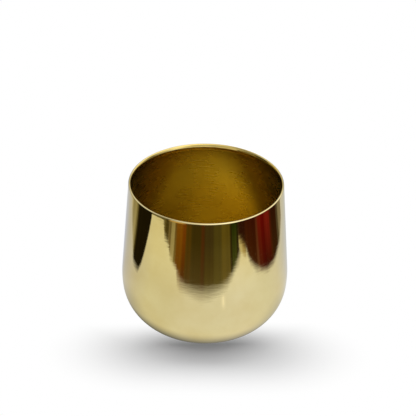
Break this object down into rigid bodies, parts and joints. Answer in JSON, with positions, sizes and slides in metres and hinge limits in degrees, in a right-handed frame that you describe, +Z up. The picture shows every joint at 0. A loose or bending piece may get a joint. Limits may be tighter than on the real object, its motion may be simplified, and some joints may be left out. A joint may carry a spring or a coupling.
{
  "type": "plant pot",
  "caption": "Round spun-metal plant pot: a flat base and rounded belly run into a wall that leans in to a mouth with a rolled edge, on soft foot pads.",
  "frame": {"origin": "on the pot's axis, on the surface that its foot pads stand on", "axes": "+Z up along the axis, towards the mouth; the pot is round, so +X and +Y are any two directions at right angles"},
  "size_m": [0.1494, 0.1494, 0.142],
  "materials": {
    "polished_brass": "mirror polished and lacquered outside, satin as-spun inside",
    "clear_elastomer": "soft matte"
  },
  "bodies": {
    "root": {"planter_shell": "polished_brass", "foot_pad_1": "clear_elastomer", "foot_pad_2": "clear_elastomer", "foot_pad_3": "clear_elastomer", "foot_pad_4": "clear_elastomer"}
  },
  "joints": []
}
